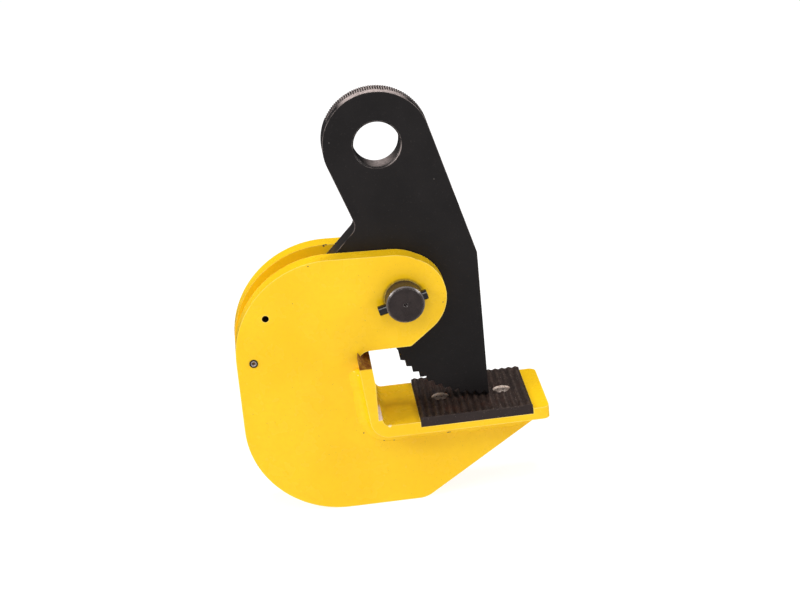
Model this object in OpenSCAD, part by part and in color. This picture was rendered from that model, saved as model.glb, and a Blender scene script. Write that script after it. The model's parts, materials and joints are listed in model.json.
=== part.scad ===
// Plate lifting clamp for horizontal lifts: a toothed lever swings on a pin between two side
// plates and presses the load down on a ridged pad.
// The origin is the centre of the lifting eye. X runs towards the jaw's mouth, Y along the pin.
// Shapes are drawn about the pivot axis in the X-Z plane, and then moved into place.

/* [Pivot] */
// How far the pivot axis lies to the mouth's side of the lifting eye
pivot_x = 8.5; // [4:0.5:14]
// How far the pivot axis lies below the lifting eye
pivot_drop = 121.5; // [110:0.5:140]
// Diameter of the pivot pin
pin_d = 30; // [26:1:32]
// How far the pin stands out of each side plate
pin_stand = 14.5; // [12:0.5:18]
// Radial running clearance of the pin in its bores
pin_play = 0.05; // [0.02:0.01:0.09]
// Chamfer on the pin's ends
pin_chamfer = 1.5; // [1:0.5:3]

/* [Spring pins] */
// Outer diameter of the spring pins that keep the pivot pin in place
spring_pin_d = 8; // [6:1:9]
// Length of a spring pin
spring_pin_length = 40; // [36:1:46]
// Wall of a spring pin
spring_pin_wall = 1.5; // [1:0.25:2]
// Turn of the spring pins from the horizontal
spring_pin_turn = 14.5; // [0:0.5:45]
// How far a spring pin sits off the pivot axis, towards the heel
spring_pin_shift = 1.5; // [0:0.5:3]

/* [Lever] */
// Thickness of the lever
lever_t = 20; // [16:1:21]
// Radius of the lifting eye's rim
eye_r = 42; // [38:0.5:45]
// Radius of the lifting eye's bore
eye_bore_r = 18; // [16:0.5:20]
// Chamfer on the bore's edges
eye_chamfer = 1; // [0.5:0.5:2]
// Distance from the pivot axis to the lever's straight outer edge
lever_edge_x = 61.5; // [58:0.5:64]
// Height of the shoulder where the outer edge bends towards the eye
shoulder_z = 25; // [20:1:32]
// Radius of the hub round the pivot
hub_r = 46; // [42:0.5:47]
// Radius of the notch between the lever's arm and its tail
notch_r = 9; // [6:1:12]
// Radius of the tail's round end
tail_r = 8; // [6:0.5:10]

/* [Cam teeth] */
// Radius of the circle that the tooth tips lie on
cam_r = 86; // [85:0.1:86.1]
// Number of teeth
tooth_count = 12; // [8:1:13]
// Angle between two teeth, seen from the cam circle's centre
tooth_step = 4.9; // [4.4:0.05:5]
// Depth of a tooth
tooth_depth = 3.2; // [2:0.1:3.4]
// Width of a tooth's flat tip
tooth_land = 0.6; // [0.2:0.1:0.8]

/* [Side plates] */
// Thickness of a side plate
plate_t = 15; // [12:1:18]
// Gap between the two side plates
plate_gap = 22; // [21.5:0.5:26]
// Radius of the nose round the pivot
nose_r = 33.5; // [32:0.5:36]
// Radius of the plate's heel, the two large corners at its back
heel_r = 77; // [74:1:82]
// Distance from the pivot axis to the plate's back edge
plate_back = 135.5; // [130:0.5:140]
// Height of the plate's top edge, at its back, over the pivot axis
heel_height = 38.7; // [37:0.1:40]
// Depth of the plate's bottom edge under the pivot axis
plate_bottom = 173; // [168:0.5:178]
// Depth of the arm's underside, the throat's ceiling, under the pivot axis
arm_underside = 40.4; // [39:0.2:42]
// Radius of the throat's upper corner
throat_r = 10; // [8:1:16]

/* [Jaw bracket] */
// Thickness of the bent bar
bracket_t = 10; // [9:0.5:12]
// Width of the bent bar
bracket_w = 80; // [70:1:80]
// Depth of the shelf's upper face under the pivot axis
shelf_top = 100; // [99:0.5:102]
// Distance from the pivot axis to the shelf's free end
shelf_end = 106; // [103:1:110]
// Inner radius of the bend
bend_r = 5; // [3:0.5:8]
// Lean of the leg away from the jaw's mouth
leg_lean = 5.5; // [3:0.5:6]
// Radius of the shelf's two free corners
shelf_corner_r = 6; // [3:1:10]
// Leg length of the fillet welds along the bracket
bracket_weld = 8; // [6:0.5:10]

/* [Jaw pad] */
// Length of the pad
pad_l = 89.4; // [84:0.2:89.4]
// Height of the pad over its ridges
pad_h = 8.1; // [7.5:0.1:8.1]
// Number of ridges
ridge_count = 16; // [12:1:18]
// Depth of the grooves between the ridges
ridge_depth = 1.7; // [1:0.1:2]
// Depth of the seat milled into the shelf for the pad
seat_depth = 4.5; // [3:0.5:5]
// Distance between the two pad screws
screw_spacing = 50; // [40:1:60]
// Thread diameter of the pad screws
screw_d = 8; // [6:1:8]
// Head diameter of the pad screws
screw_head_d = 14; // [12:0.5:15]

/* [Spacers inside] */
// Travel of the lever from closed to the stop block, in degrees
open_angle = 42; // [30:1:44]
// Width of the spacer bar bent round the heel
spacer_t = 14; // [10:1:18]
// Distance of the spacer bar from the plates' edge
spacer_inset = 12; // [8:1:18]
// Leg length of the small welds inside
inner_weld = 4; // [3:0.5:5]

/* [Tag holes] */
// Diameter of the two holes for a load tag
tag_hole_d = 5.5; // [4:0.5:6]

/* [Hidden] */
$fn = 96;

// Colours
paint_yellow = [1.00, 0.80, 0.13];
lever_black = [0.15, 0.14, 0.14];
pad_brown = [0.22, 0.19, 0.18];
pin_grey = [0.27, 0.25, 0.27];
zinc = [0.80, 0.76, 0.72];

// Small overshoot of the cutting shapes
over = 1;
// How far a straight edge ends inside a disc's rim, so that the two cross cleanly
tuck = 0.005;

// Places along the pin, counted from the middle
plate_inner = plate_gap / 2;
plate_outer = plate_inner + plate_t;
pin_end = plate_outer + pin_stand;
spring_pin_place = plate_outer + pin_stand / 2;

// A disc is [x, z, radius], about the pivot axis. The discs that span the lever's outline:
eye = [-pivot_x, pivot_drop, eye_r];
shoulder = [lever_edge_x - 3, shoulder_z, 3];
waist = [-18, 30, 3];
tail_root = [-20, 55.5, tail_r];
tail_tip = [-50, 25.5, tail_r];
hub = [0, 0, hub_r];
cam = [65, -9.9, cam_r];
// The cam circle's angle at its last tooth, on the lever's straight edge
last_tooth = 180 + acos((cam.x - lever_edge_x) / cam_r);

// The discs that span a side plate's outline:
heel_top = [heel_r - plate_back, heel_height - heel_r, heel_r];
heel_bottom = [heel_r - plate_back, heel_r - plate_bottom, heel_r];
keel = [-2.5, 20 - plate_bottom, 20];
beak = [96.5, -shelf_top - bracket_t - 2, 2];
nose = [0, 0, nose_r];
crown = [-8, -5.5, 42];
elbow = [1.5, 2 - arm_underside, 2];
arm_root = [-60, 2 - arm_underside, 2];
// The arm's upper edge runs from the nose to the heel's rim
arm_top = rim_disc(heel_top, tangent_angle(nose, heel_top), 2);

// The bracket's bend, and its leg, which leans away from the mouth
bend = [-21.4, bend_r - shelf_top];
bend_outer_r = bend_r + bracket_t;
leg_up = [-sin(leg_lean), cos(leg_lean)];
leg_out = [-cos(leg_lean), -sin(leg_lean)];
leg_inner_length = 46;
// Points on the leg's bevelled top, as [towards the leg's outer face, up the leg]
leg_bevel = [[-1, 45.5], [4.8, 48], [11.1, 60.6], [40, 60.6], [40, -40]];
// The leg's top corner, where it stands in front of a side plate
leg_corner = [[6, 44], [6, 50.2], [8.8, 56], [9.9, 52], [9.9, 44]];
// How deep, and how far up, the leg's inner face is ground off at its front edge
relief_depth = 3.3;
relief_rise = 30;
// The throat's back wall follows the leg's outer face up to this corner
corner_out = bend_outer_r - throat_r;
corner_rise = (-arm_underside - throat_r - bend.y - corner_out * leg_out.y) / leg_up.y;
throat_corner = bend + corner_out * leg_out + corner_rise * leg_up;

// Pad, seat and screws
pad_x = 48;
seat_l = pad_l + 0.4;
seat_floor = -shelf_top - seat_depth;
pad_top = seat_floor + pad_h;
ridge_points = 8;
screw_places = [pad_x - screw_spacing / 2, pad_x + screw_spacing / 2];
screw_top = pad_top - 1.2;
// How far the middle of a screw's head stands over its edge
screw_crown = 1.2;
screw_length = screw_top + shelf_top + bracket_t;
screw_head_h = (screw_head_d - screw_d) / 2;
screw_play = 0.05;
recess_w = 1.6;
recess_l = 7.5;
recess_depth = 2.4;

// The stop block stands where the edge between the lever's tail and its hub arrives when the
// jaw is fully open. Its far end lies this much along that edge.
stop_clear = 0.4;
stop_far = 37;
stop_l = 17;
stop_h = 12;

// The spacer bar round the heel
spacer_out_r = heel_r - spacer_inset;

// Places of the tag holes
tag_hole_high = [-108.8, -3.5];
tag_hole_low = [-122, -39.5];

// Welds along the bracket stop short of its two ends
jaw_weld_up = leg_inner_length - 3.5;
jaw_weld_end = 88;
// The weld's straight runs stop this much short of the run round the bend
weld_gap = 0.1;

// Drag lines that torch cutting left over part of the eye rim's width
drag_angles = [28:2.6:152];
drag_depth = 0.7;
drag_half_w = 0.75;
drag_share = 0.6;

// ---- Helpers ----

function tangent_angle(a, b) =
    atan2(b.y - a.y, b.x - a.x) - acos((a[2] - b[2]) / norm([b.x - a.x, b.y - a.y]));
function rim(disc, angle) =
    [disc.x + (disc[2] - tuck) * cos(angle), disc.y + (disc[2] - tuck) * sin(angle)];

// A disc of radius r inside another one, which touches its rim at an angle
function rim_disc(disc, angle, r) =
    [disc.x + (disc[2] - r) * cos(angle), disc.y + (disc[2] - r) * sin(angle), r];

// The tightest convex outline round a list of discs that is given anticlockwise
module disc_hull(discs) {
    last = len(discs) - 1;
    for (disc = discs) translate([disc.x, disc.y]) circle(r = disc[2]);
    polygon([
        for (i = [0:last])
            let (a = discs[i], b = discs[i < last ? i + 1 : 0], angle = tangent_angle(a, b))
            each [rim(a, angle), rim(b, angle)]
    ]);
}

// Turns local X, Y and Z into sideways, up and towards the front, about the pivot
module about_pivot() {
    translate([pivot_x, 0, -pivot_drop]) rotate([90, 0, 0]) children();
}

// Gives an outline a thickness between two places along the pin
module slab(from, to) {
    translate([0, 0, from]) linear_extrude(to - from) children();
}

module rod(place, r, from, to) {
    translate([place.x, place.y, from]) cylinder(r = r, h = to - from);
}

// Copies a piece made for the front to the rear
module to_rear() {
    mirror([0, 1, 0]) children();
}

// ---- Lever ----

// Rounds the notch between the arm and the tail
module notch_fill() {
    arm_side = tangent_angle(eye, waist);
    tail_side = tangent_angle(tail_root, tail_tip);
    arm_normal = [cos(arm_side), sin(arm_side)];
    tail_normal = [cos(tail_side), sin(tail_side)];
    arm_reach = arm_normal * [eye.x, eye.y] + eye[2];
    tail_reach = tail_normal * [tail_tip.x, tail_tip.y] + tail_tip[2];
    // Where two lines cross that lie this much outside the two edges
    function crossing(out) = [
        (arm_reach + out) * tail_normal.y - (tail_reach + out) * arm_normal.y,
        (tail_reach + out) * arm_normal.x - (arm_reach + out) * tail_normal.x
    ] / sin(tail_side - arm_side);
    centre = crossing(notch_r);
    difference() {
        polygon([
            crossing(0) - 2 * (arm_normal + tail_normal),
            centre - (notch_r + 1) * arm_normal,
            centre - notch_r * arm_normal,
            centre,
            centre - notch_r * tail_normal,
            centre - (notch_r + 1) * tail_normal
        ]);
        translate(centre) circle(r = notch_r);
    }
}

// The cam's root circle with its teeth, whose sides stand at a right angle
module cam_outline() {
    root_r = cam_r - tooth_depth;
    translate([cam.x, cam.y]) {
        circle(r = root_r);
        for (i = [0:tooth_count - 1]) rotate(last_tooth - i * tooth_step)
            polygon([
                [root_r - 1, -tooth_depth - 1 - tooth_land / 2],
                [cam_r, -tooth_land / 2],
                [cam_r, tooth_land / 2],
                [root_r - 1, tooth_depth + 1 + tooth_land / 2]
            ]);
    }
}

module lever_outline() {
    disc_hull([eye, waist, shoulder]);
    disc_hull([tail_root, tail_tip, hub]);
    notch_fill();
    intersection() {
        cam_outline();
        translate([-40, -120]) square([40 + lever_edge_x, 120 + shoulder_z]);
    }
}

module lifting_lever() {
    half = lever_t / 2;
    color(lever_black) about_pivot() difference() {
        slab(-half, half) lever_outline();
        rod([0, 0], pin_d / 2 + pin_play, -half - over, half + over);
        rod(eye, eye_bore_r, -half - over, half + over);
        for (side = [0, 1]) mirror([0, 0, side])
            translate([eye.x, eye.y, half - eye_chamfer])
                cylinder(r1 = eye_bore_r, r2 = eye_bore_r + 2 * eye_chamfer, h = 2 * eye_chamfer);
        for (angle = drag_angles)
            translate([eye.x, eye.y, 0]) rotate(angle) translate([eye_r, 0, 0])
                slab(-half - over, -half + drag_share * lever_t)
                polygon([
                    [-drag_depth, 0],
                    [drag_depth, -2 * drag_half_w],
                    [drag_depth, 2 * drag_half_w]
                ]);
    }
}

// ---- Side plates and tag rivet ----

// The throat, whose wall the bracket fits against
module throat_outline() {
    disc_hull([
        [throat_corner.x, throat_corner.y, throat_r],
        [bend.x, bend.y, bend_outer_r],
        [200, bend.y, bend_outer_r],
        [200, throat_corner.y, throat_r]
    ]);
}

module plate_outline() {
    difference() {
        disc_hull([heel_top, heel_bottom, keel, beak, nose]);
        throat_outline();
        translate([throat_corner.x, -arm_underside - throat_r / 2]) square(200);
    }
    disc_hull([nose, arm_top, arm_root, elbow]);
    // The arm's upper edge is slightly crowned
    intersection() {
        disc_hull([crown, heel_top]);
        translate([heel_top.x, 0]) square(200);
    }
}

// The front plate, with a hole for each tag hole place in the list
module side_plate(tag_holes) {
    about_pivot() difference() {
        slab(plate_inner, plate_outer) plate_outline();
        rod([0, 0], pin_d / 2 + pin_play, plate_inner - over, plate_outer + over);
        for (place = tag_holes)
            rod(place, tag_hole_d / 2, plate_inner - over, plate_outer + over);
    }
}

module front_side_plate() {
    color(paint_yellow) side_plate([tag_hole_high, tag_hole_low]);
}

module rear_side_plate() {
    color(paint_yellow) to_rear() side_plate([]);
}

// A tubular rivet, left in the lower tag hole
module tag_rivet() {
    shank_r = tag_hole_d / 2 - 0.05;
    color(pin_grey) about_pivot() difference() {
        union() {
            rod(tag_hole_low, shank_r, plate_inner + 1, plate_outer + 0.5);
            rod(tag_hole_low, shank_r + 0.7, plate_outer, plate_outer + 0.5);
        }
        rod(tag_hole_low, shank_r - 1.1, plate_inner, plate_outer + over);
    }
}

// ---- Jaw bracket and its welds ----

// A point of the leg, from where its inner face meets the bend
function leg_point(p) = bend + (bend_r + p.x) * leg_out + p.y * leg_up;

// A leaning leg with a bevelled top, the bend and the shelf
module bracket_outline() {
    difference() {
        intersection() {
            throat_outline();
            polygon(concat(
                [for (p = leg_bevel) leg_point(p)],
                [[-60, -130], [shelf_end, -130], [shelf_end, leg_point(leg_bevel[0]).y]]
            ));
        }
        // The bar's inner side follows the bend's inner radius
        disc_hull([
            [bend.x + 60 * leg_up.x, bend.y + 60 * leg_up.y, bend_r],
            [bend.x, bend.y, bend_r],
            [200, bend.y, bend_r],
            [200, bend.y + 60, bend_r]
        ]);
    }
}

// The wedge that is ground off the leg's inner face, deepest at the bottom of its front edge
module leg_relief() {
    half = bracket_w / 2;
    clear = 1;
    more = clear / relief_depth + clear / bracket_w;
    translate(bend + bend_r * leg_out) rotate(leg_lean) polyhedron(
        points = [
            [clear, 1, half + clear],
            [-relief_depth * (1 + clear / bracket_w), 1, half + clear],
            [clear, 1 + relief_rise * (1 + more), half + clear],
            [clear, 1, half - bracket_w * (1 + clear / relief_depth)]
        ],
        faces = [[0, 1, 2], [0, 3, 1], [0, 2, 3], [1, 3, 2]]
    );
}

// What is cut away to round one of the shelf's free corners
module shelf_corner_cut() {
    r = shelf_corner_r;
    translate([shelf_end - r, -shelf_top + over, bracket_w / 2 - r]) rotate([90, 0, 0])
        difference() {
            cube([r + over, r + over, bracket_t + 2 * over]);
            translate([0, 0, -over]) cylinder(r = r, h = bracket_t + 4 * over);
        }
}

module jaw_bracket() {
    half = bracket_w / 2;
    color(paint_yellow) about_pivot() difference() {
        union() {
            slab(-half, half) difference() {
                bracket_outline();
                translate([pad_x - seat_l / 2, seat_floor]) square([seat_l, 20]);
            }
            for (side = [0, 1]) mirror([0, 0, side])
                slab(plate_outer, half) polygon([for (p = leg_corner) leg_point(p)]);
        }
        leg_relief();
        for (x = screw_places)
            translate([x, seat_floor + over, 0]) rotate([90, 0, 0])
                cylinder(r = screw_d / 2 + screw_play, h = bracket_t + 2 * over);
        for (side = [0, 1]) mirror([0, 0, side]) shelf_corner_cut();
    }
}

// The fillet weld between the front plate's face and the bracket's outer face, in three runs
module jaw_weld() {
    outer = bend + bend_outer_r * leg_out;
    section = [[0, 0], [-bracket_weld, 0], [0, bracket_weld]];
    about_pivot() translate([0, 0, plate_outer]) {
        translate(outer) rotate(leg_lean) translate([0, jaw_weld_up, 0])
            rotate([90, 0, 0]) linear_extrude(jaw_weld_up - weld_gap) polygon(section);
        translate(bend) rotate(180 + leg_lean) rotate_extrude(angle = 90 - leg_lean)
            polygon([for (p = section) [bend_outer_r - p.x, p.y]]);
        translate([bend.x + weld_gap, bend.y - bend_outer_r, 0])
            rotate([90, 0, 90]) linear_extrude(jaw_weld_end - bend.x - weld_gap)
            polygon(section);
    }
}

module front_jaw_weld() {
    color(paint_yellow) jaw_weld();
}

module rear_jaw_weld() {
    color(paint_yellow) to_rear() jaw_weld();
}

// ---- Jaw pad and screws ----

module jaw_pad() {
    half = bracket_w / 2;
    left = pad_x - pad_l / 2;
    steps = ridge_count * ridge_points;
    ridge_tops = [
        for (i = [steps:-1:0])
            [
                left + i * pad_l / steps,
                pad_top - ridge_depth * (1 + cos(360 * i / ridge_points)) / 2
            ]
    ];
    color(pad_brown) about_pivot() difference() {
        slab(-half, half)
            polygon(concat([[left, seat_floor], [left + pad_l, seat_floor]], ridge_tops));
        for (x = screw_places)
            translate([x, 0, 0]) rotate([-90, 0, 0]) {
                head_r = screw_head_d / 2 + 0.2;
                translate([0, 0, seat_floor - over])
                    cylinder(r = screw_d / 2 + 0.2, h = pad_h + over);
                translate([0, 0, screw_top - screw_head_h - 0.05])
                    cylinder(r1 = screw_d / 2 + 0.2, r2 = head_r, h = screw_head_h);
                translate([0, 0, screw_top - 0.05]) cylinder(r = head_r, h = pad_h);
            }
    }
}

// A raised countersunk screw with a cross recess, for one of the two places
module pad_screw(x) {
    head_r = screw_head_d / 2;
    dome_r = (pow(head_r, 2) + pow(screw_crown, 2)) / (2 * screw_crown);
    color(zinc) about_pivot() translate([x, screw_top, 0]) rotate([-90, 0, 0]) difference() {
        union() {
            translate([0, 0, -screw_length]) cylinder(r = screw_d / 2, h = screw_length);
            translate([0, 0, -screw_head_h])
                cylinder(r1 = screw_d / 2, r2 = head_r, h = screw_head_h);
            intersection() {
                translate([0, 0, screw_crown - dome_r]) sphere(r = dome_r);
                translate([0, 0, -0.2]) cylinder(r = head_r - 0.3, h = screw_head_h);
            }
        }
        for (turn = [20, 110])
            rotate(turn) translate([-recess_l / 2, -recess_w / 2, -recess_depth])
                cube([recess_l, recess_w, recess_depth + over]);
    }
}

module inner_pad_screw() {
    pad_screw(screw_places[0]);
}

module outer_pad_screw() {
    pad_screw(screw_places[1]);
}

// ---- Pivot pin and spring pins ----

module pivot_pin() {
    r = pin_d / 2;
    dimple = 1.6;
    color(pin_grey) about_pivot() difference() {
        rotate_extrude() polygon([
            [0, -pin_end],
            [r - pin_chamfer, -pin_end],
            [r, pin_chamfer - pin_end],
            [r, pin_end - pin_chamfer],
            [r - pin_chamfer, pin_end],
            [0, pin_end]
        ]);
        for (side = [0, 1]) mirror([0, 0, side]) {
            translate([0, 0, spring_pin_place]) rotate([0, 90, spring_pin_turn])
                cylinder(r = spring_pin_d / 2 + 0.02, h = pin_d + 2 * over, center = true);
            translate([0, 0, pin_end - dimple]) cylinder(r1 = 0.2, r2 = 2 * dimple, h = 2 * dimple);
        }
    }
}

// A slotted spring pin, driven through the pivot pin outside the front plate
module spring_pin() {
    r = spring_pin_d / 2;
    color(pin_grey) about_pivot()
        translate([0, 0, spring_pin_place]) rotate([0, 90, spring_pin_turn])
        translate([0, 0, -spring_pin_shift]) difference() {
            cylinder(r = r, h = spring_pin_length, center = true);
            cylinder(r = r - spring_pin_wall, h = spring_pin_length + over, center = true);
            rotate(55) translate([0, -0.8, -spring_pin_length / 2 - over])
                cube([2 * r, 1.6, spring_pin_length + 2 * over]);
        }
}

module front_spring_pin() {
    spring_pin();
}

module rear_spring_pin() {
    to_rear() spring_pin();
}

// ---- Spacers between the plates, with their welds ----

module heel_spacer() {
    color(paint_yellow) about_pivot() translate([heel_bottom.x, heel_bottom.y, 0]) rotate(180)
        rotate_extrude(angle = 90)
        translate([spacer_out_r - spacer_t, -plate_inner]) square([spacer_t, plate_gap]);
}

// The weld between the heel spacer's outer face and the front plate
module heel_weld() {
    color(paint_yellow) about_pivot() translate([heel_bottom.x, heel_bottom.y, 0]) rotate(180)
        rotate_extrude(angle = 90) polygon([
            [spacer_out_r, plate_inner],
            [spacer_out_r, plate_inner - inner_weld],
            [spacer_out_r + inner_weld, plate_inner]
        ]);
}

module front_heel_weld() {
    heel_weld();
}

module rear_heel_weld() {
    to_rear() heel_weld();
}

// Places a piece against the lever's tail in its fully open position
module at_stop() {
    about_pivot() rotate(tangent_angle(tail_tip, hub) + open_angle)
        translate([hub_r + stop_clear, -stop_far, 0]) children();
}

module stop_block() {
    color(paint_yellow) at_stop()
        translate([0, 0, -plate_inner]) cube([stop_h, stop_l, plate_gap]);
}

// The weld between the stop block's far side and the front plate
module stop_weld() {
    color(paint_yellow) at_stop()
        translate([stop_h, stop_l, plate_inner]) rotate([90, 0, 0]) linear_extrude(stop_l)
        polygon([[0, 0], [inner_weld, 0], [0, -inner_weld]]);
}

module front_stop_weld() {
    stop_weld();
}

module rear_stop_weld() {
    to_rear() stop_weld();
}

lifting_lever();
front_side_plate();
rear_side_plate();
jaw_bracket();
front_jaw_weld();
rear_jaw_weld();
jaw_pad();
inner_pad_screw();
outer_pad_screw();
pivot_pin();
front_spring_pin();
rear_spring_pin();
heel_spacer();
front_heel_weld();
rear_heel_weld();
stop_block();
front_stop_weld();
rear_stop_weld();
tag_rivet();
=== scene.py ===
"""Looks of the plate lifting clamp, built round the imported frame."""

import json
import math

import bpy
import bmesh
from mathutils import Matrix, Vector


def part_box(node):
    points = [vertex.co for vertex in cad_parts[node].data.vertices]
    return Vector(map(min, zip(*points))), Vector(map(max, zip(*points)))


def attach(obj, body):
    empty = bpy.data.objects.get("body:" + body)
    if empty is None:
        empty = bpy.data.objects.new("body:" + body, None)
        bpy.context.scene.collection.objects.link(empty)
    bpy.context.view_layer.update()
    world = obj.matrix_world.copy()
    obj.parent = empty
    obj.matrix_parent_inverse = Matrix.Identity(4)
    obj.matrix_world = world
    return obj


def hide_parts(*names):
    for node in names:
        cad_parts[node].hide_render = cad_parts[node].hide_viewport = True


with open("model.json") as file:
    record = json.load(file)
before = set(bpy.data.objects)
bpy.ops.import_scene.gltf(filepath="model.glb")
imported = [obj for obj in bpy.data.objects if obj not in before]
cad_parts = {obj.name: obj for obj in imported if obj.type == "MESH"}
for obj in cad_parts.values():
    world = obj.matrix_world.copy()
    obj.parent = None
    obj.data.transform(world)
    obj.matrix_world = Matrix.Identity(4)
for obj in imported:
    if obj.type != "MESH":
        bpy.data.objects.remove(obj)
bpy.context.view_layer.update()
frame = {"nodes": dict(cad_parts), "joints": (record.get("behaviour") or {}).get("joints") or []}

MM = 0.001
PIVOT = Vector(frame["joints"][0]["pos_m"])
FLOOR_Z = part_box("front_side_plate")[0].z
# How far each side plate's two faces lie from the middle plane, in millimetres
PLATE_OUT = -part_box("front_side_plate")[0].y / MM
PLATE_IN = -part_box("front_side_plate")[1].y / MM


def turned(angle):
    """A unit vector in the X-Z plane, at an angle in degrees from +X towards +Z."""
    return Vector((math.cos(math.radians(angle)), math.sin(math.radians(angle))))


# Measures of the CAD model that the looks and the beads follow, in degrees, and in millimetres
# about the pivot. The radii of the pivot pin, of the eye, of its bore, of a tag hole and of a pad
# screw's crown:
PIN_RADIUS, EYE_RADIUS, BORE_RADIUS, HOLE_RADIUS, CROWN_RADIUS = 15.0, 42.0, 18.0, 2.75, 21.0
PIN_END = 40.5
# The bracket's flat bar, its bend, its leg and its shelf
BAR = 10.0
BEND = Vector((-21.4, -95.0))
BEND_OUTER = 15.0
LEG_LEAN = 5.5
LEG_TOP = -50.0
LEG_LENGTH = 42.5
SHELF_END = 88
# The arc that the heel's weld follows, and the straight run of the stop block's weld
HEEL_CENTRE, HEEL_RADIUS = (-58.5, -96.0), 65.0
STOP_TURN, STOP_DISTANCE, STOP_RUN = -117.63, 58.4, (-37, -20)
# The open tag hole and the one with the rivet
TAG_HOLES = [(-108.8, -3.5), (-122, -39.5)]
# The first angle and the spacing of the drag notches in the eye's rim
NOTCH_START, NOTCH_STEP = 28, 2.6
leg_out, leg_up = turned(180 + LEG_LEAN), turned(90 + LEG_LEAN)


# ---- Camera, lights and floor ----

# The camera that was fitted to the photograph. Its azimuth, elevation and roll are in degrees,
# its distance in metres and its lens in millimetres.
CAMERA_ANGLES = (3.36, 21.16, -5.53)
CAMERA_DISTANCE = 1.6736
CAMERA_LENS = 95.44
# How far the view's centre lies to the right of the pivot and over it, in metres
VIEW_RIGHT, VIEW_UP = -0.0007, -0.0103

# The point that the softboxes face
MIDDLE = Vector((0, 0, -0.12))
# Softboxes, as (name, direction, distance, size, power) in metres and watts
SOFTBOXES = [
    ("overhead", (0.00, -0.12, 0.98), 1.9, (0.6, 0.6), 2),
    ("key", (-0.15, -0.60, 0.78), 1.9, (0.6, 0.6), 7),
    ("left", (-0.81, -0.29, 0.50), 1.9, (0.6, 0.6), 17),
    ("right", (0.87, -0.22, 0.45), 1.9, (0.4, 0.4), 11),
    ("rear", (0.10, 0.36, 0.93), 2.2, (0.5, 0.4), 24),
    ("back_fill", (-0.78, 0.48, 0.40), 2.2, (0.6, 0.6), 7),
]

FLOOR_HALF = 12
FLOOR_GREY = (0.28, 0.28, 0.28, 1)
FLOOR_GLOW = 0.84


def add_camera():
    """A long lens that looks down on the clamp, with a slight roll."""
    azimuth, elevation, roll = (math.radians(angle) for angle in CAMERA_ANGLES)
    ahead = Vector((
        math.sin(azimuth) * math.cos(elevation),
        math.cos(azimuth) * math.cos(elevation),
        -math.sin(elevation),
    ))
    level = Vector((math.cos(azimuth), -math.sin(azimuth), 0))
    right = math.cos(roll) * level + math.sin(roll) * level.cross(ahead)
    up = right.cross(ahead)
    data = bpy.data.cameras.new("camera")
    data.lens = CAMERA_LENS
    data.clip_end = 50
    camera = bpy.data.objects.new("camera", data)
    bpy.context.scene.collection.objects.link(camera)
    centre = PIVOT + VIEW_RIGHT * right + VIEW_UP * up
    turn = Matrix((right, up, -ahead)).transposed().to_4x4()
    camera.matrix_world = Matrix.Translation(centre - CAMERA_DISTANCE * ahead) @ turn
    bpy.context.scene.camera = camera


def add_area_light(name, way, distance, size, power):
    """A softbox that lights the clamp from a direction, and that the camera doesn't see."""
    data = bpy.data.lights.new(name, "AREA")
    data.shape = "RECTANGLE"
    data.size, data.size_y = size
    data.energy = power
    light = bpy.data.objects.new(name, data)
    bpy.context.scene.collection.objects.link(light)
    way = Vector(way).normalized()
    light.location = MIDDLE + distance * way
    light.rotation_euler = way.to_track_quat("Z", "Y").to_euler()
    light.visible_camera = False


def add_world():
    """A pale studio, dim behind the clamp."""
    world = bpy.data.worlds.new("studio")
    world.use_nodes = True
    tree = world.node_tree
    place = tree.nodes.new("ShaderNodeTexCoord").outputs["Generated"]
    axes = tree.nodes.new("ShaderNodeSeparateXYZ")
    tree.links.new(place, axes.inputs[0])
    strength = tree.nodes.new("ShaderNodeMapRange")
    strength.interpolation_type = "SMOOTHSTEP"
    # Strong on the camera's side, and weak behind the clamp
    fade = {"From Min": -0.6, "From Max": 0.5, "To Min": 0.55, "To Max": 0.05}
    for socket, value in fade.items():
        strength.inputs[socket].default_value = value
    tree.links.new(axes.outputs["Y"], strength.inputs["Value"])
    background = tree.nodes["Background"]
    background.inputs["Color"].default_value = (1, 1, 1, 1)
    tree.links.new(strength.outputs["Result"], background.inputs["Strength"])
    bpy.context.scene.world = world


def add_floor():
    """A white floor at the height of the plates' lower edges."""
    mesh = bpy.data.meshes.new("floor")
    signs = [(-1, -1), (1, -1), (1, 1), (-1, 1)]
    corners = [(FLOOR_HALF * x, FLOOR_HALF * y, FLOOR_Z) for x, y in signs]
    mesh.from_pydata(corners, [], [(0, 1, 2, 3)])
    floor = bpy.data.objects.new("floor", mesh)
    bpy.context.scene.collection.objects.link(floor)
    paint = bpy.data.materials.new("floor_white")
    paint.use_nodes = True
    shader = paint.node_tree.nodes["Principled BSDF"]
    shader.inputs["Base Color"].default_value = FLOOR_GREY
    shader.inputs["Roughness"].default_value = 0.9
    shader.inputs["Specular IOR Level"].default_value = 0.1
    shader.inputs["Emission Color"].default_value = (1, 1, 1, 1)
    shader.inputs["Emission Strength"].default_value = FLOOR_GLOW
    mesh.materials.append(paint)
    # Grazing reflections of the floor would veil the paint
    floor.visible_glossy = False


add_camera()
add_world()
add_floor()
for softbox in SOFTBOXES:
    add_area_light(*softbox)
bpy.context.scene.view_settings.view_transform = "Standard"


# ---- Materials ----

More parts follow.
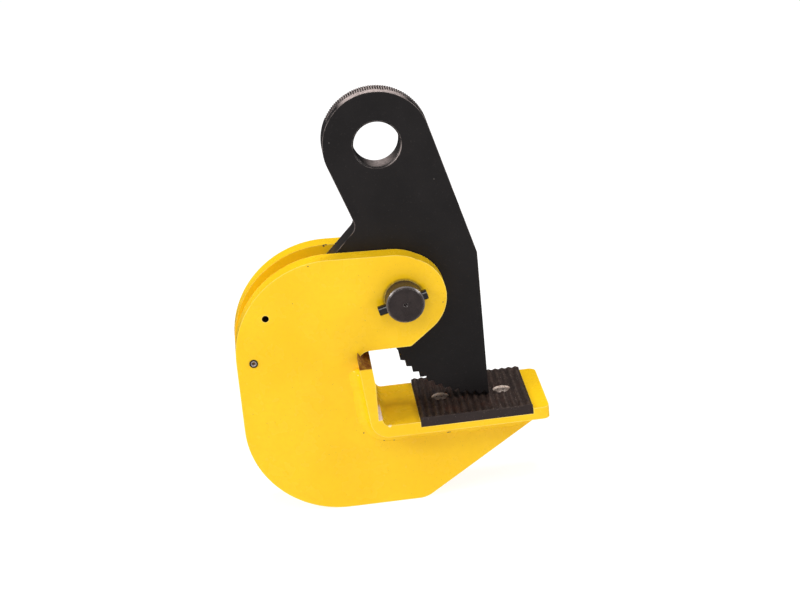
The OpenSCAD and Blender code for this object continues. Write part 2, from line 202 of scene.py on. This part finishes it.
class Recipe:
    """A material's node tree, with short calls for the nodes that the recipes share."""

    def __init__(self, name, **values):
        self.material = bpy.data.materials.new(name)
        self.material.use_nodes = True
        self.tree = self.material.node_tree
        self.shader = self.tree.nodes["Principled BSDF"]
        self.place = self.tree.nodes.new("ShaderNodeTexCoord").outputs["Object"]
        for socket, value in values.items():
            self.set(socket.replace("_", " "), value)

    def set(self, socket, value):
        """Puts a number, a colour or another node's output on one of the shader's sockets."""
        self.feed(self.shader.inputs[socket], value)

    def feed(self, socket, value):
        if isinstance(value, bpy.types.NodeSocket):
            self.tree.links.new(value, socket)
        elif isinstance(value, tuple) and socket.type == "RGBA":
            socket.default_value = (*value[:3], 1)
        else:
            socket.default_value = value

    def node(self, kind, inputs, output=0, **settings):
        made = self.tree.nodes.new("ShaderNode" + kind)
        for key, value in settings.items():
            setattr(made, key, value)
        for key, value in inputs.items():
            self.feed(made.inputs[key], value)
        return made.outputs[output]

    def maths(self, operation, a, b=0.0):
        return self.node("Math", {0: a, 1: b}, operation=operation)

    def noise(self, per_metre, detail=3.0):
        inputs = {"Vector": self.place, "Scale": per_metre, "Detail": detail, "Roughness": 0.55}
        return self.node("TexNoise", inputs)

    def span(self, value, low, high, to_low=0.0, to_high=1.0):
        """A smooth step: to_low where value is under low, to_high where it is over high."""
        inputs = {
            "Value": value, "From Min": low, "From Max": high, "To Min": to_low, "To Max": to_high,
        }
        return self.node("MapRange", inputs, interpolation_type="SMOOTHSTEP")

    def fall(self, value, low, high):
        """A smooth step down: 1 where value is under low, 0 where it is over high."""
        return self.span(value, low, high, 1.0, 0.0)

    def blend(self, factor, a, b):
        """Colour a where factor is 0, and b where it is 1."""
        inputs = {"Factor": factor, "A": a, "B": b}
        return self.node("Mix", inputs, output="Result", data_type="RGBA")

    def both(self, a, b):
        return self.maths("MULTIPLY", a, b)

    def either(self, a, b):
        return self.maths("MAXIMUM", a, b)

    def part_of(self, axis):
        """The place along X, Y or Z, in metres."""
        return self.node("SeparateXYZ", {"Vector": self.place}, output=axis)

    def measure(self, operation, a, b):
        """A number that VectorMath makes of two vectors."""
        inputs = {0: a, 1: b}
        return self.node("VectorMath", inputs, output="Value", operation=operation)

    def from_axis(self, x, z):
        """The distance from a line along Y, in metres."""
        flat = self.node("VectorMath", {0: self.place, 1: (1, 0, 1)}, operation="MULTIPLY")
        return self.measure("DISTANCE", flat, (x, 0, z))

    def edges(self, radius):
        """0 on flat faces, and more the nearer an edge is, up to radius."""
        soft = self.node("Bevel", {"Radius": radius}, samples=6)
        hard = self.node("NewGeometry", {}, output="Normal")
        return self.maths("SUBTRACT", 1.0, self.measure("DOT_PRODUCT", soft, hard))

    def bump(self, height, depth):
        """Raises the surface by depth, in metres, where height is 1, on top of earlier calls."""
        inputs = {"Height": height, "Distance": depth, "Strength": 1.0}
        before = self.shader.inputs["Normal"]
        if before.is_linked:
            inputs["Normal"] = before.links[0].from_socket
        self.set("Normal", self.node("Bump", inputs))

    def spot(self, place, radius):
        """1 within an uneven patch round a place, and 0 outside it."""
        away = self.measure("DISTANCE", self.place, tuple(place))
        uneven = self.both(self.noise(1400, detail=2), radius)
        reach = self.maths("ADD", away, uneven)
        return self.fall(reach, 1.2 * radius, 1.6 * radius)

    def spots(self, places):
        """The spots of a list of (x, y, z, radius) in millimetres."""
        found = None
        for x, y, z, radius in places:
            one = self.spot(MM * Vector((x, y, z)), MM * radius)
            found = one if found is None else self.either(found, one)
        return found


# Small marks, as (x, y, z, radius) in millimetres
CHIPS = [
    (-46.7, 11, -82.4, 1.3), (-44.6, 11, -81.8, 1.0), (-48.2, 11, -83.7, 1.0),
    (-62.9, -26, -85.9, 0.6), (-77.9, -26, -115.0, 0.4), (-33.6, -26, -231.3, 0.6),
    (38.6, -26, -128.2, 0.5),
]
# Painted highlights: pale spots that stand in for glints on small blobs of paint
PAINTED_GLINTS = [(-13.0, -39.5, -221.5, 1.5), (-30.6, -30, -185.7, 0.8), (-33.2, -30, -179.6, 0.7)]
LEVER_DOTS = [(-36.2, -10, 5.7, 0.4), (41.3, -10, -32.5, 0.4)]


def yellow_paint(name, extra=None, edge_highlights=True):
    """Smooth enamel with a faint orange peel, a few chips, and painted shade round the pivot pin.

    extra adds a part's own marks: it takes the recipe and the paint, and returns the new paint and
    a mask of where it is dull.
    """
    r = Recipe(name, Roughness=0.3, Specular_IOR_Level=0.32)
    drift = r.span(r.noise(14, detail=2), 0.3, 0.7)
    fine = r.span(r.noise(260, detail=2), 0.35, 0.7)
    paint = r.blend(drift, (0.93, 0.555, 0.006), (0.98, 0.605, 0.011))
    paint = r.blend(r.both(fine, 0.25), paint, (0.88, 0.50, 0.006))
    # Painted shade: a dark ring on the plate round the pivot pin, standing in for its contact
    # shadow
    ring = r.fall(r.from_axis(PIVOT.x, PIVOT.z), (PIN_RADIUS + 0.2) * MM, (PIN_RADIUS + 2.8) * MM)
    pin_shade = r.both(ring, r.span(r.noise(420), 0.25, 0.6, 0.35, 1.0))
    specks = r.span(r.noise(900, detail=1), 0.745, 0.765)
    edge_chips = r.span(r.edges(1.2 * MM), 0.02, 0.08)
    edge_chips = r.both(edge_chips, r.span(r.noise(170, detail=4), 0.68, 0.71))
    chips = r.either(edge_chips, r.spots(CHIPS))
    paint = r.blend(r.both(specks, 0.5), paint, (0.30, 0.16, 0.02))
    paint = r.blend(r.both(pin_shade, 0.8), paint, (0.16, 0.085, 0.012))
    # Painted highlight: a pale line along the rounded edges, standing in for their gloss highlight
    if edge_highlights:
        line = r.span(r.edges(1.4 * MM), 0.03, 0.16)
        line = r.both(line, r.span(r.noise(55), 0.25, 0.6, 0.30, 0.85))
        paint = r.blend(line, paint, (1.0, 0.78, 0.20))
    dull = r.both(r.either(chips, pin_shade), 0.6)
    # A part's own marks, which include painted shade and a painted highlight, and where they are
    # dull
    if extra:
        paint, extra_dull = extra(r, paint)
        dull = r.either(dull, extra_dull)
    # Painted highlights: the pale glint spots
    paint = r.blend(r.spots(PAINTED_GLINTS), paint, (1.0, 0.80, 0.42))
    r.set("Base Color", r.blend(chips, paint, (0.09, 0.060, 0.035)))
    r.set("Roughness", r.either(r.span(r.noise(60), 0.3, 0.7, 0.20, 0.30), dull))
    r.bump(r.noise(330, detail=1), 0.03 * MM)
    r.bump(r.noise(45, detail=2), 0.10 * MM)
    r.bump(r.maths("SUBTRACT", 1.0, chips), 0.08 * MM)
    return r.material


def hole_shade(r, paint):
    """Painted shade: black on the walls of the two tag holes."""
    high, low = (r.from_axis(PIVOT.x + MM * x, PIVOT.z + MM * z) for x, z in TAG_HOLES)
    near = r.node("Math", {0: high, 1: low}, operation="MINIMUM")
    around = r.fall(near, (HOLE_RADIUS + 0.45) * MM, (HOLE_RADIUS + 0.75) * MM)
    deep = r.span(r.part_of("Y"), (0.05 - PLATE_OUT) * MM, (0.25 - PLATE_OUT) * MM)
    inside = r.both(around, deep)
    return r.blend(inside, paint, (0.004, 0.0015, 0.001)), inside


def leg_marks(r, paint):
    """Painted shade on the leg's bevelled top, and a painted highlight on the front of its inner
    face.

    The highlight's patch lies between two heights, ends raggedly towards the middle, and stops
    short of the leg's front edge.
    """
    top = PIVOT.z + LEG_TOP * MM
    top = r.span(r.part_of("Z"), top - 0.6 * MM, top + 0.6 * MM)
    # Painted shade: dark brown on the leg's bevelled top, which lies in the arm's shadow
    leg_top_shade = r.both(top, r.span(r.noise(300, detail=3), 0.2, 0.6, 0.75, 1.0))
    paint = r.blend(leg_top_shade, paint, (0.16, 0.050, 0.003))
    # How far a point lies behind the plane of the leg's inner face
    way = Vector((leg_out.x, 0, leg_out.y))
    face = PIVOT + MM * Vector((BEND.x, 0, BEND.y)) + (BEND_OUTER - BAR) * MM * way
    along = r.measure("DOT_PRODUCT", r.place, tuple(way))
    depth = r.maths("SUBTRACT", along, face.dot(way))
    # Painted highlight: pale pink on the front of the leg's inner face
    inner_face_highlight = r.span(depth, 0.05 * MM, 0.20 * MM)
    inner_face_highlight = r.both(inner_face_highlight, r.fall(depth, 3.3 * MM, 3.6 * MM))
    low = r.fall(r.part_of("Z"), PIVOT.z - 66 * MM, PIVOT.z - 63 * MM)
    above = r.span(r.part_of("Z"), PIVOT.z - 96 * MM, PIVOT.z - 94.5 * MM)
    behind_edge = r.span(r.part_of("Y"), -39.9 * MM, -39.4 * MM)
    ragged = r.maths("ADD", r.part_of("Y"), r.both(r.noise(90, detail=4), 24 * MM))
    inner_face_highlight = r.both(inner_face_highlight, r.fall(ragged, -3 * MM, 4 * MM))
    inner_face_highlight = r.both(r.both(inner_face_highlight, low), r.both(above, behind_edge))
    inner_face_highlight = r.both(inner_face_highlight, r.span(r.noise(500, detail=3), 0.34, 0.42))
    return r.blend(inner_face_highlight, paint, (1.0, 0.86, 0.78)), leg_top_shade


def black_paint():
    """Thin satin paint over plate steel, rubbed on the eye's rim and on its edges, with painted
    light on the bore's lower wall and a painted highlight on its chamfer.
    """
    r = Recipe("black_paint", Specular_IOR_Level=0.22)
    drift = r.span(r.noise(22, detail=3), 0.3, 0.7)
    coat = r.blend(drift, (0.0085, 0.0070, 0.0072), (0.0125, 0.0103, 0.0105))
    dust = r.span(r.noise(750, detail=2), 0.64, 0.76)
    coat = r.blend(r.both(dust, 0.25), coat, (0.07, 0.06, 0.057))
    coat = r.blend(r.both(r.spots(LEVER_DOTS), 0.7), coat, (0.20, 0.18, 0.17))
    x, y, z = (r.part_of(axis) for axis in "XYZ")
    eye_distance = r.from_axis(0, 0)
    # Light metal on the rim's top, with black notches, left by torch cutting, over its rear part
    rim = r.span(eye_distance, (EYE_RADIUS - 0.22) * MM, (EYE_RADIUS - 0.10) * MM)
    rim = r.both(rim, r.span(z, 31 * MM, 38 * MM))
    around = r.maths("SUBTRACT", r.maths("ARCTAN2", z, x), math.radians(NOTCH_START))
    wave = r.maths("COSINE", r.both(around, 2 * math.pi / math.radians(NOTCH_STEP)))
    reach = r.maths("ADD", y, r.both(r.maths("SUBTRACT", r.noise(140, detail=2), 0.5), 8 * MM))
    notches = r.both(r.span(wave, -0.8, -0.3), r.span(reach, -3.5 * MM, -1.0 * MM))
    rim = r.both(rim, r.maths("SUBTRACT", 1.0, notches))
    # Painted light on the bore's lower wall, and a painted highlight on its chamfer at the lower
    # right
    bore = r.fall(eye_distance, BORE_RADIUS * MM, (BORE_RADIUS + 0.4) * MM)
    bore = r.both(bore, r.fall(z, -17 * MM, -2 * MM))
    bore = r.both(r.both(bore, r.span(x, -13 * MM, 1 * MM)), r.span(x, 5 * MM, 15 * MM, 1.0, 0.15))
    bore = r.both(bore, r.span(y, -9.2 * MM, -6 * MM, 0.0, 0.6))
    chamfer = r.span(eye_distance, (BORE_RADIUS + 0.2) * MM, (BORE_RADIUS + 0.6) * MM)
    beyond = r.fall(eye_distance, (BORE_RADIUS + 1.0) * MM, (BORE_RADIUS + 1.3) * MM)
    chamfer = r.both(chamfer, beyond)
    chamfer = r.both(chamfer, r.span(x, 4 * MM, 11 * MM))
    chamfer = r.both(chamfer, r.span(z, -4 * MM, 2 * MM, 0.5, 0.0))
    edge = r.span(r.edges(1.1 * MM), 0.03, 0.12)
    edge = r.both(edge, r.span(r.noise(110, detail=4), 0.34, 0.58))
    # The cam's teeth stay black
    edge = r.both(edge, r.span(z, -150 * MM, -120 * MM))
    # Wear on the rim and edges, with the painted light in the bore and the painted highlight on
    # its chamfer
    wear_and_painted_light = r.either(r.either(rim, bore), chamfer)
    wear_and_painted_light = r.both(wear_and_painted_light, r.span(r.noise(380, detail=3), 0.30, 0.60, 0.6, 1.0))
    wear_and_painted_light = r.either(wear_and_painted_light, r.both(edge, 0.55))
    r.set("Base Color", r.blend(wear_and_painted_light, coat, (0.56, 0.465, 0.44)))
    r.set("Metallic", r.both(wear_and_painted_light, 0.35))
    r.set("Roughness", r.span(r.noise(90, detail=3), 0.3, 0.7, 0.42, 0.56))
    r.bump(r.noise(520, detail=3), 0.04 * MM)
    r.bump(r.noise(70, detail=2), 0.08 * MM)
    return r.material


def pad_steel():
    """Blackened steel with rubbed crests, rust-brown hollows and bright specks."""
    r = Recipe("pad_steel", Specular_IOR_Level=0.35)
    low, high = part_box("jaw_pad")
    crest = r.span(r.part_of("Z"), high.z - 1.1 * MM, high.z - 0.1 * MM)
    mottle = r.span(r.noise(160, detail=4), 0.3, 0.7)
    coat = r.blend(mottle, (0.020, 0.012, 0.010), (0.040, 0.024, 0.019))
    coat = r.blend(r.both(r.span(r.noise(60), 0.5, 0.75), 0.5), coat, (0.070, 0.026, 0.016))
    front = r.fall(r.part_of("Y"), low.y + 0.5 * MM, low.y + 2.0 * MM)
    coat = r.blend(r.both(front, 0.7), coat, (0.030, 0.019, 0.018))
    rubbed = r.both(crest, r.span(r.noise(240, detail=3), 0.4, 0.65))
    coat = r.blend(r.both(rubbed, 0.45), coat, (0.15, 0.11, 0.09))
    specks = r.span(r.noise(1100, detail=1), 0.71, 0.74)
    r.set("Base Color", r.blend(r.both(specks, 0.7), coat, (0.45, 0.36, 0.31)))
    r.set("Metallic", r.span(rubbed, 0.0, 1.0, 0.15, 0.5))
    r.set("Roughness", r.span(r.noise(200), 0.3, 0.7, 0.40, 0.58))
    r.bump(r.noise(600, detail=3), 0.08 * MM)
    return r.material


def dark_steel(name, low, high, edge_tone, gloss, roughness):
    """Blackened turned steel, mottled between two tones, bright where its edges are rubbed, and on
    the pin's chamfers, which are bare metal with a painted highlight.
    """
    r = Recipe(name, Specular_IOR_Level=gloss)
    coat = r.blend(r.span(r.noise(130, detail=4), 0.3, 0.7), low, high)
    grain = r.span(r.noise(1500, detail=2), 0.35, 0.7)
    coat = r.blend(r.both(grain, 0.3), coat, tuple(1.8 * part for part in high))
    from_pin = r.from_axis(PIVOT.x, PIVOT.z)
    tool_marks = r.node("TexNoise", {"Vector": from_pin, "Scale": 2600.0, "Detail": 2.0})
    edge = r.span(r.edges(0.8 * MM), 0.02, 0.10)
    edge = r.both(edge, r.span(r.noise(200, detail=3), 0.3, 0.6, 0.35, 1.0))
    # The turned chamfers at the pivot pin's two ends are bright: bare metal, lightened further as
    # a painted highlight
    ends = r.span(r.maths("ABSOLUTE", r.part_of("Y")), (PIN_END - 1.6) * MM, (PIN_END - 1.3) * MM)
    chamfer = r.span(from_pin, (PIN_RADIUS - 1.1) * MM, (PIN_RADIUS - 0.7) * MM)
    chamfer = r.both(ends, chamfer)
    edge = r.either(edge, r.both(chamfer, 0.5))
    r.set("Base Color", r.blend(edge, coat, edge_tone))
    r.set("Metallic", r.span(edge, 0.0, 1.0, 0.1, 0.6))
    r.set("Roughness", r.span(r.noise(170), 0.3, 0.7, *roughness))
    r.bump(tool_marks, 0.01 * MM)
    r.bump(r.noise(900, detail=2), 0.03 * MM)
    return r.material


def screw_zinc():
    """Dulled zinc with a warm tint, grimy in patches, with painted shade on its near half and dark
    down in the cross recess.
    """
    r = Recipe("screw_zinc")
    low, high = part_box("inner_pad_screw")
    pad_low, pad_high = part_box("jaw_pad")
    # The two screws lie evenly on both sides of the pad's middle
    middle = (pad_low.x + pad_high.x) / 2
    aside = r.maths("ABSOLUTE", r.maths("SUBTRACT", r.part_of("X"), middle))
    aside = r.maths("SUBTRACT", aside, middle - (low.x + high.x) / 2)
    out = r.maths("ADD", r.both(aside, aside), r.both(r.part_of("Y"), r.part_of("Y")))
    # The head's crown falls away from its top; what lies below it is the recess
    crown = r.maths("SUBTRACT", high.z, r.maths("DIVIDE", out, 2 * CROWN_RADIUS * MM))
    sunk = r.span(r.maths("SUBTRACT", crown, r.part_of("Z")), 0.12 * MM, 0.40 * MM)
    mottle = r.span(r.noise(300, detail=3), 0.3, 0.7)
    bright = r.blend(mottle, (0.85, 0.64, 0.52), (1.0, 0.86, 0.76))
    # Painted shade: the head's near half is darkened, on top of the grimy patches
    near = r.fall(r.part_of("Y"), -1.8 * MM, 2.0 * MM)
    dirt_and_shade = r.either(r.span(r.noise(500, detail=3), 0.62, 0.72), r.both(near, 0.85))
    bright = r.blend(dirt_and_shade, bright, (0.055, 0.035, 0.027))
    r.set("Base Color", r.blend(sunk, bright, (0.025, 0.016, 0.013)))
    r.set("Metallic", r.maths("SUBTRACT", 0.25, r.both(sunk, 0.2)))
    dull = r.span(r.noise(500, detail=2), 0.3, 0.7, 0.28, 0.45)
    r.set("Roughness", r.either(dull, r.both(sunk, 0.9)))
    r.bump(r.noise(700, detail=2), 0.04 * MM)
    return r.material


def rivet_steel():
    """Dull steel that is bright on its rolled lip, and dark round it and inside."""
    r = Recipe("rivet_steel", Metallic=0.4)
    x, z = TAG_HOLES[1]
    out = r.from_axis(PIVOT.x + MM * x, PIVOT.z + MM * z)
    lip = r.both(r.span(out, 1.3 * MM, 1.6 * MM), r.fall(out, 1.9 * MM, 2.3 * MM))
    mottle = r.span(r.noise(900, detail=3), 0.35, 0.65)
    steel = r.blend(mottle, (0.30, 0.26, 0.27), (0.75, 0.68, 0.66))
    r.set("Base Color", r.blend(lip, (0.020, 0.012, 0.012), steel))
    r.set("Roughness", r.span(lip, 0.0, 1.0, 0.8, 0.35))
    r.bump(r.noise(1500, detail=2), 0.03 * MM)
    return r.material


yellow = yellow_paint("yellow_paint")
# The welds' paint has no painted edge highlights
bead_yellow = yellow_paint("yellow_paint_weld", edge_highlights=False)
pin = dark_steel(
    "pin_steel", (0.022, 0.016, 0.0155), (0.034, 0.025, 0.024),
    edge_tone=(0.30, 0.27, 0.26), gloss=0.22, roughness=(0.24, 0.36),
)
spring = dark_steel(
    "spring_steel", (0.005, 0.0045, 0.0045), (0.011, 0.009, 0.009),
    edge_tone=(0.10, 0.09, 0.085), gloss=0.5, roughness=(0.08, 0.16),
)
zinc = screw_zinc()
# The nodes that aren't named here are plain yellow
looks = {
    "lifting_lever": black_paint(),
    # The plate's tag holes carry painted shade; the bracket's leg carries painted shade and a
    # painted highlight
    "front_side_plate": yellow_paint("yellow_paint_plate", hole_shade),
    "jaw_bracket": yellow_paint("yellow_paint_bracket", leg_marks),
    "jaw_pad": pad_steel(),
    "inner_pad_screw": zinc, "outer_pad_screw": zinc,
    "pivot_pin": pin, "front_spring_pin": spring, "rear_spring_pin": spring,
    "tag_rivet": rivet_steel(),
}

# Vertices closer than this are joined, faces that turn less than the first angle are merged, and
# edges that turn more than the second are rounded
JOIN = 0.001 * MM
FLAT_TURN, SHARP_TURN = math.radians(0.3), math.radians(30)
# How far each node's sharp edges are rounded, in millimetres
EDGE_ROUND = {
    "front_side_plate": 1.1, "rear_side_plate": 1.1, "jaw_bracket": 1.1, "heel_spacer": 0.6,
    "stop_block": 0.5, "lifting_lever": 0.5, "jaw_pad": 0.25, "pivot_pin": 0.3,
    "front_spring_pin": 0.3, "rear_spring_pin": 0.3, "tag_rivet": 0.12,
    "inner_pad_screw": 0.12, "outer_pad_screw": 0.12,
}


def finish_node(name, node):
    """Joins a node's faces, rounds its sharp edges and gives it its material."""
    mesh = node.data
    if "custom_normal" in mesh.attributes:
        mesh.attributes.remove(mesh.attributes["custom_normal"])
    mesh.polygons.foreach_set("use_smooth", [True] * len(mesh.polygons))
    mesh.materials.clear()
    mesh.materials.append(looks.get(name, yellow))
    weld = node.modifiers.new("join", "WELD")
    weld.merge_threshold = JOIN
    flat = node.modifiers.new("flat", "DECIMATE")
    flat.decimate_type = "DISSOLVE"
    flat.angle_limit = FLAT_TURN
    if name in EDGE_ROUND:
        bevel = node.modifiers.new("round", "BEVEL")
        bevel.width = EDGE_ROUND[name] * MM
        bevel.segments = 3
        bevel.limit_method = "ANGLE"
        bevel.angle_limit = SHARP_TURN
        bevel.harden_normals = True


for name, node in frame["nodes"].items():
    finish_node(name, node)


def as_object(mesh, name):
    """Makes an object of an edited mesh and puts it in the scene."""
    data = bpy.data.meshes.new(name)
    mesh.to_mesh(data)
    mesh.free()
    made = bpy.data.objects.new(name, data)
    bpy.context.scene.collection.objects.link(made)
    return made


def stand_in(piece, node):
    """Makes a piece of the frame stand for a CAD node."""
    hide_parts(node)
    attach(piece, "frame")


# ---- Jaw pad ----

RIDGES = 16
RIDGE_DEPTH = 1.7 * MM
STEPS_PER_RIDGE = 12
# The grooves run out over this length, to these shares of their depth at the pad's two edges
RUN_OUT = 5 * MM
RUN_OUT_STEPS = 8
LEFT_AT_FRONT, LEFT_AT_BACK = 0.12, 0.55
# A screw's seat, and how far the tool that cuts it reaches
SEAT_RADIUS = 7.2 * MM
SEAT_DEPTH = 1.9 * MM
SEAT_TOOL = 8 * MM


def rise(t, start):
    """A smooth rise from start at 0 to 1 at 1, level beyond both."""
    t = min(max(t, 0.0), 1.0)
    return start + (1 - start) * t * t * (3 - 2 * t)


def groove_height(low, high, x, y):
    """The height of the pad's top at a place in its plan."""
    hollow = (1 + math.cos(2 * math.pi * RIDGES * (x - low.x) / (high.x - low.x))) / 2
    front = rise((y - low.y) / RUN_OUT, LEFT_AT_FRONT)
    back = rise((high.y - y) / RUN_OUT, LEFT_AT_BACK)
    return high.z - RIDGE_DEPTH * hollow * min(front, back)


def ridged_block(low, high):
    """A block with a ridged top, closed all round."""
    steps = RIDGES * STEPS_PER_RIDGE
    columns = [low.x + (high.x - low.x) * i / steps for i in range(steps + 1)]
    insets = [RUN_OUT * i / RUN_OUT_STEPS for i in range(RUN_OUT_STEPS + 1)]
    rows = [low.y + inset for inset in insets] + [high.y - inset for inset in reversed(insets)]
    mesh = bmesh.new()
    grid = [
        [mesh.verts.new((x, y, groove_height(low, high, x, y))) for x in columns]
        for y in rows
    ]
    front_left, back_left, front_right, back_right = (
        mesh.verts.new((x, y, low.z)) for x in (low.x, high.x) for y in (low.y, high.y)
    )
    for one, two in zip(grid, grid[1:]):
        for i in range(steps):
            mesh.faces.new((one[i], one[i + 1], two[i + 1], two[i]))
    mesh.faces.new([front_left, front_right] + grid[0][::-1])
    mesh.faces.new([back_right, back_left] + grid[-1])
    mesh.faces.new([back_left, front_left] + [row[0] for row in grid])
    mesh.faces.new([front_right, back_right] + [row[-1] for row in grid[::-1]])
    mesh.faces.new((front_left, back_left, back_right, front_right))
    bmesh.ops.recalc_face_normals(mesh, faces=mesh.faces)
    return mesh


def seat_tool(top):
    """The discs that cut the two screws' seats into the pad's top."""
    mesh = bmesh.new()
    for name in ("inner_pad_screw", "outer_pad_screw"):
        low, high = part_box(name)
        middle = (low + high) / 2
        place = Matrix.Translation((middle.x, middle.y, top + SEAT_TOOL / 2 - SEAT_DEPTH))
        bmesh.ops.create_cone(
            mesh, cap_ends=True, segments=48, radius1=SEAT_RADIUS, radius2=SEAT_RADIUS,
            depth=SEAT_TOOL, matrix=place,
        )
    return mesh


def make_pad():
    """The pad, with its screws' seats and grooves that run out at its front and back edges."""
    low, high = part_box("jaw_pad")
    pad = as_object(ridged_block(low, high), "ridged_pad")
    tool = as_object(seat_tool(high.z), "seats")
    cut = pad.modifiers.new("seats", "BOOLEAN")
    cut.operation = "DIFFERENCE"
    cut.solver = "EXACT"
    cut.object = tool
    bpy.context.view_layer.update()
    solid = pad.evaluated_get(bpy.context.evaluated_depsgraph_get())
    pad.data = bpy.data.meshes.new_from_object(solid)
    pad.modifiers.clear()
    bpy.data.objects.remove(tool)
    finish_node("jaw_pad", pad)
    stand_in(pad, "jaw_pad")


make_pad()


# ---- Weld beads ----

SECTION_STEPS = 12
# How hollow the fillet's face is: 0 is flat, 1 is a quarter circle
HOLLOW = 0.78
# How far the bead's back is sunk into the pieces that it joins
SUNK = 0.35 * MM
# The length over which a bead's ends swell, and the share of its size that they start from
TAPER = 5 * MM
TAPER_START = 0.25
# Waves of a bead's size, as (share, waves per metre, phase)
RIPPLES = ((0.055, 31.0, 1.3), (0.035, 67.0, 2.9), (0.018, 149.0, 0.7), (0.012, 1150.0, 0.0))
JAW_LEG, INNER_LEG = 9.2 * MM, 4.2 * MM


def bead_section(corner, side, into, leg):
    """A fillet's hollow face, from its toe on the plate to its other toe, and its sunk back."""
    points = []
    for step in range(SECTION_STEPS + 1):
        t = step / SECTION_STEPS
        angle = t * math.pi / 2
        along = (1 - HOLLOW) * (1 - t) + HOLLOW * (1 - math.sin(angle))
        off = (1 - HOLLOW) * t + HOLLOW * (1 - math.cos(angle))
        points.append(corner + leg * along * side + leg * off * into)
    points.append(corner - SUNK * side + leg * into)
    points.append(corner - SUNK * side - SUNK * into)
    points.append(corner + leg * side - SUNK * into)
    return points


def ripple(length, seed):
    """An uneven factor near 1, at a length along a bead in metres."""
    return 1 + sum(
        share * math.sin(2 * math.pi * per_metre * length + seed * phase)
        for share, per_metre, phase in RIPPLES
    )


def bead(name, node, path, into, leg, seed):
    """A fillet weld swept along a path of (corner, side), which stands for a CAD weld node."""
    mesh = bmesh.new()
    lengths = [0.0]
    for (a, _), (b, _) in zip(path, path[1:]):
        lengths.append(lengths[-1] + (b - a).length)
    rings = []
    for (corner, side), length in zip(path, lengths):
        near_end = min(length, lengths[-1] - length) / TAPER
        swell = math.sqrt(max(0.0, 1 - max(0.0, 1 - near_end) ** 2))
        size = leg * ripple(length, seed) * (TAPER_START + (1 - TAPER_START) * swell)
        rings.append([mesh.verts.new(point) for point in bead_section(corner, side, into, size)])
    for one, two in zip(rings, rings[1:]):
        for i in range(len(one)):
            j = (i + 1) % len(one)
            mesh.faces.new((one[i], one[j], two[j], two[i]))
    mesh.faces.new(rings[0])
    mesh.faces.new(list(reversed(rings[-1])))
    bmesh.ops.recalc_face_normals(mesh, faces=mesh.faces)
    piece = as_object(mesh, name)
    faces = piece.data.polygons
    faces.foreach_set("use_smooth", [len(face.vertices) == 4 for face in faces])
    piece.data.materials.append(bead_yellow)
    stand_in(piece, node)


def line_path(start, end, side, step=1.0):
    """Points along a straight run in the X-Z plane, in millimetres about the pivot."""
    start, end = Vector(start), Vector(end)
    count = max(2, round((end - start).length / step))
    return [(start.lerp(end, i / count), Vector(side)) for i in range(count + 1)]


def arc_path(centre, radius, start, end, step=1.0):
    """Points along an arc in the X-Z plane, from one angle to another."""
    count = max(2, round(math.radians(abs(end - start)) * radius / step))
    path = []
    for i in range(count + 1):
        way = turned(start + (end - start) * i / count)
        path.append((Vector(centre) + radius * way, way))
    return path


def at_plate(path, y):
    """Lifts a path of (point, side) in the X-Z plane to a place along the pin, in metres."""
    return [
        (PIVOT + MM * Vector((point.x, y, point.y)), Vector((side.x, 0, side.y)))
        for point, side in path
    ]


leg_foot = BEND + BEND_OUTER * leg_out
shelf_foot = BEND + Vector((0, -BEND_OUTER))
jaw_path = line_path(leg_foot + LEG_LENGTH * leg_up, leg_foot, leg_out)[:-1]
jaw_path += arc_path(BEND, BEND_OUTER, 180 + LEG_LEAN, 270)
jaw_path += line_path(shelf_foot, (SHELF_END, shelf_foot.y), (0, -1))[1:]
heel_path = arc_path(HEEL_CENTRE, HEEL_RADIUS, 180, 270)
stop_out, stop_along = turned(STOP_TURN), turned(STOP_TURN + 90)
stop_ends = [STOP_DISTANCE * stop_out + place * stop_along for place in STOP_RUN]
stop_path = line_path(*stop_ends, stop_out)
for end, y, seed in (("front", -1, 1.0), ("rear", 1, 2.3)):
    out = Vector((0, y, 0))
    # The jaw's weld is on the plate's outer face, the other two on its inner face
    for part, path, face, into, leg in (
        ("jaw", jaw_path, PLATE_OUT, out, JAW_LEG),
        ("heel", heel_path, PLATE_IN, -out, INNER_LEG),
        ("stop", stop_path, PLATE_IN, -out, INNER_LEG),
    ):
        bead(f"{end}_{part}_bead", f"{end}_{part}_weld", at_plate(path, y * face), into, leg, seed)
